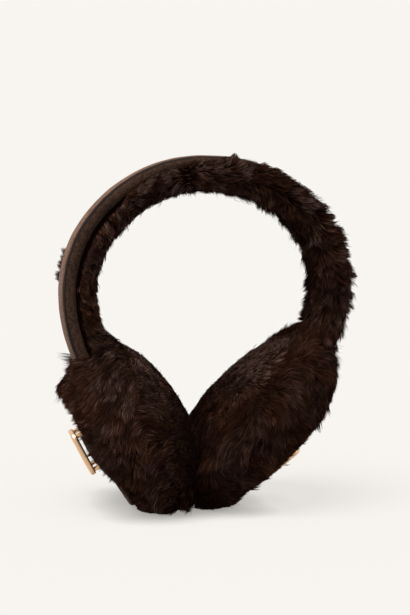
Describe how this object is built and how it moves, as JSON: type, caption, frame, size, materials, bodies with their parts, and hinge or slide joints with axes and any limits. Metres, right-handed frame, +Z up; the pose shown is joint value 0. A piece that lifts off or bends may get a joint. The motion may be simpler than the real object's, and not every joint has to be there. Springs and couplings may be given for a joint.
{
  "type": "fur earmuffs",
  "caption": "Padded fabric headband lined with deep fur, ending in two thick fur ear pads with domed backs and open gold frames.",
  "frame": {"origin": "on the floor, under the middle of the box round the whole object", "axes": "+Z up through the top of the band, +X from the left pad to the right pad, +Y to the back; the band's arch lies in the XZ plane"},
  "size_m": [0.1424, 0.101, 0.168],
  "materials": {
    "fur": "deep faux fur, very dark brown",
    "suede": "matt brown suede-like fabric",
    "pad_back": "matt black-brown cloth over a moulded shell",
    "gold": "satin rose gold plate"
  },
  "bodies": {
    "root": {"band_cover": "suede", "band_outer_strip": "suede", "band_fur": "fur", "left_pad_fur": "fur", "right_pad_fur": "fur", "left_pad_piping": "suede", "right_pad_piping": "suede", "left_pad_back": "pad_back", "right_pad_back": "pad_back", "left_emblem": "gold", "right_emblem": "gold"}
  },
  "joints": []
}
